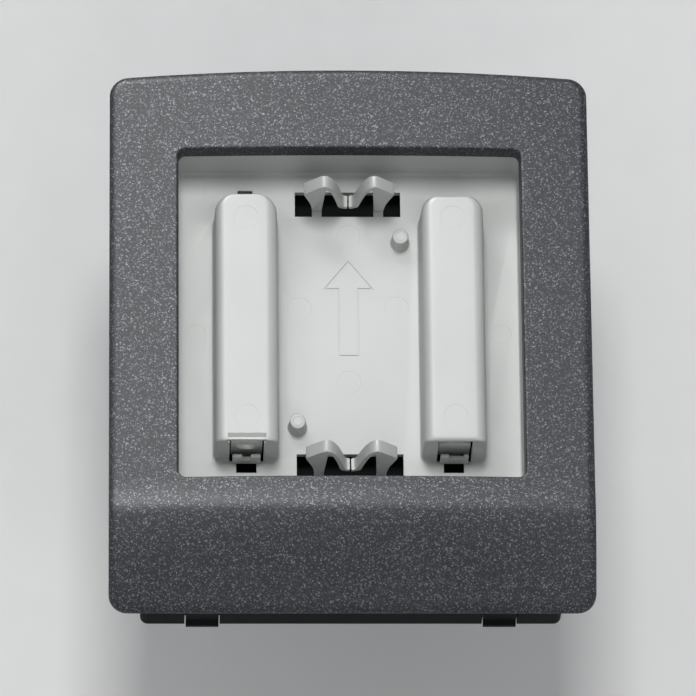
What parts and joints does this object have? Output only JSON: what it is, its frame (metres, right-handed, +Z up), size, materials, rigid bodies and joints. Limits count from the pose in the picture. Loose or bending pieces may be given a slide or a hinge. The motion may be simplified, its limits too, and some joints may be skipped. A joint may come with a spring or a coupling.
{
  "type": "wall battery unit",
  "caption": "Wall battery unit: curved dark front frame with a chin round a pale tray with battery housings, spring clips and locating pegs, on a black wall base.",
  "frame": {"origin": "on the wall plane, on the back face of the wall base, behind the centre of the square opening", "axes": "+Z up the wall, -Y out of the wall towards the user, +X to the user's right"},
  "size_m": [0.1254, 0.0287, 0.147],
  "materials": {
    "frame_paint": "matt dark grey paint with a fine metallic fleck, on plastic",
    "tray_plastic": "satin",
    "base_plastic": "matt",
    "contact_metal": "bright nickel plate",
    "screw_metal": "zinc plate",
    "cell_metal": "bright",
    "cell_label": "printed film sleeve",
    "seal_plastic": "matt"
  },
  "bodies": {
    "wall_base": {"wall_base": "base_plastic"},
    "left_latch": {"left_latch": "base_plastic"},
    "right_latch": {"right_latch": "base_plastic"},
    "front_unit": {"front_frame": "frame_paint", "battery_tray": "tray_plastic", "tray_screw_lower_left": "screw_metal", "tray_screw_lower_right": "screw_metal", "tray_screw_upper_left": "screw_metal", "tray_screw_upper_right": "screw_metal", "left_button_plate": "contact_metal", "left_spring_plate": "contact_metal", "right_button_plate": "contact_metal", "right_spring_plate": "contact_metal", "link_strap": "contact_metal", "left_cell_spring": "contact_metal", "right_cell_spring": "contact_metal"},
    "left_cell": {"left_cell_can": "cell_metal", "left_cell_sleeve": "cell_label", "left_cell_seal": "seal_plastic"},
    "right_cell": {"right_cell_can": "cell_metal", "right_cell_sleeve": "cell_label", "right_cell_seal": "seal_plastic"},
    "upper_clip_left": {"upper_clip_left": "tray_plastic"},
    "upper_clip_right": {"upper_clip_right": "tray_plastic"},
    "lower_clip_left": {"lower_clip_left": "tray_plastic"},
    "lower_clip_right": {"lower_clip_right": "tray_plastic"}
  },
  "joints": [
    {"name": "front_swing", "type": "hinge", "parent": "wall_base", "child": "front_unit", "pos_m": [0, -0.0135, 0.061], "axis": [-1, 0, 0], "range_deg": [0, 15]},
    {"name": "left_latch_press", "type": "hinge", "parent": "wall_base", "child": "left_latch", "pos_m": [-0.0385, -0.0068, -0.0755], "axis": [1, 0, 0], "range_deg": [0, 4], "stiffness_Nm_per_rad": 0.05, "springref_deg": -5.73},
    {"name": "right_latch_press", "type": "hinge", "parent": "wall_base", "child": "right_latch", "pos_m": [0.0385, -0.0068, -0.0755], "axis": [1, 0, 0], "range_deg": [0, 4], "stiffness_Nm_per_rad": 0.05, "springref_deg": -5.73},
    {"name": "left_cell_push", "type": "slide", "parent": "front_unit", "child": "left_cell", "axis": [0, 0, 1], "range_m": [0, 0.002], "stiffness_N_per_m": 1000, "springref_m": -0.003, "deforming": ["left_cell_spring"]},
    {"name": "right_cell_push", "type": "slide", "parent": "front_unit", "child": "right_cell", "axis": [0, 0, -1], "range_m": [0, 0.002], "stiffness_N_per_m": 1000, "springref_m": -0.003, "deforming": ["right_cell_spring"]},
    {"name": "upper_clip_left_flex", "type": "hinge", "parent": "front_unit", "child": "upper_clip_left", "pos_m": [-0.0081, -0.0097, 0.0361], "axis": [0, 0, 1], "range_deg": [0, 3], "stiffness_Nm_per_rad": 0.2},
    {"name": "upper_clip_right_flex", "type": "hinge", "parent": "front_unit", "child": "upper_clip_right", "pos_m": [0.0081, -0.0097, 0.0361], "axis": [0, 0, 1], "range_deg": [-3, 0], "stiffness_Nm_per_rad": 0.2},
    {"name": "lower_clip_left_flex", "type": "hinge", "parent": "front_unit", "child": "lower_clip_left", "pos_m": [-0.0081, -0.0097, -0.0371], "axis": [0, 0, 1], "range_deg": [0, 3], "stiffness_Nm_per_rad": 0.2},
    {"name": "lower_clip_right_flex", "type": "hinge", "parent": "front_unit", "child": "lower_clip_right", "pos_m": [0.0081, -0.0097, -0.0371], "axis": [0, 0, 1], "range_deg": [-3, 0], "stiffness_Nm_per_rad": 0.2}
  ],
  "couplings": [
    {"joint": "upper_clip_right_flex", "follows": "upper_clip_left_flex", "ratio": -1},
    {"joint": "lower_clip_right_flex", "follows": "lower_clip_left_flex", "ratio": -1}
  ]
}
